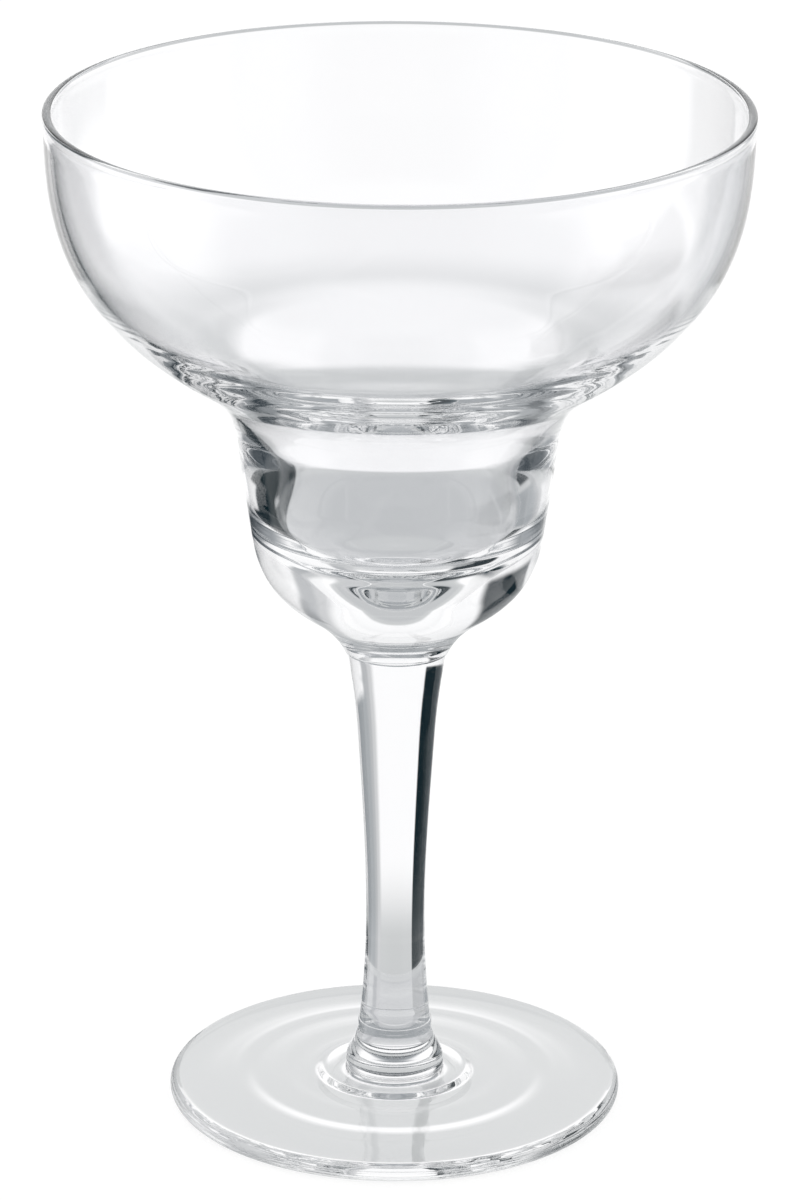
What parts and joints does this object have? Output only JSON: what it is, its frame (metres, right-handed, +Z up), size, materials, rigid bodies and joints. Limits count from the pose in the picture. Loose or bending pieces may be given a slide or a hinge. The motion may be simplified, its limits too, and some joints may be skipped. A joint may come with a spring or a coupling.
{
  "type": "margarita glass",
  "caption": "Clear stemmed cocktail glass: a wide saucer bowl over a small round-bottomed well, on a solid drawn stem and a flat round foot.",
  "frame": {"origin": "centre of the foot's underside, on the plane that the glass stands on", "axes": "+Z up along the glass's axis of revolution, from the foot to the rim; X and Y are alike"},
  "size_m": [0.1168, 0.1168, 0.175],
  "materials": {
    "bowl_glass": "clear, fire polished",
    "stem_glass": "clear, fire polished",
    "foot_glass": "clear, fire polished"
  },
  "bodies": {
    "root": {"bowl": "bowl_glass", "stem": "stem_glass", "foot": "foot_glass"}
  },
  "joints": []
}
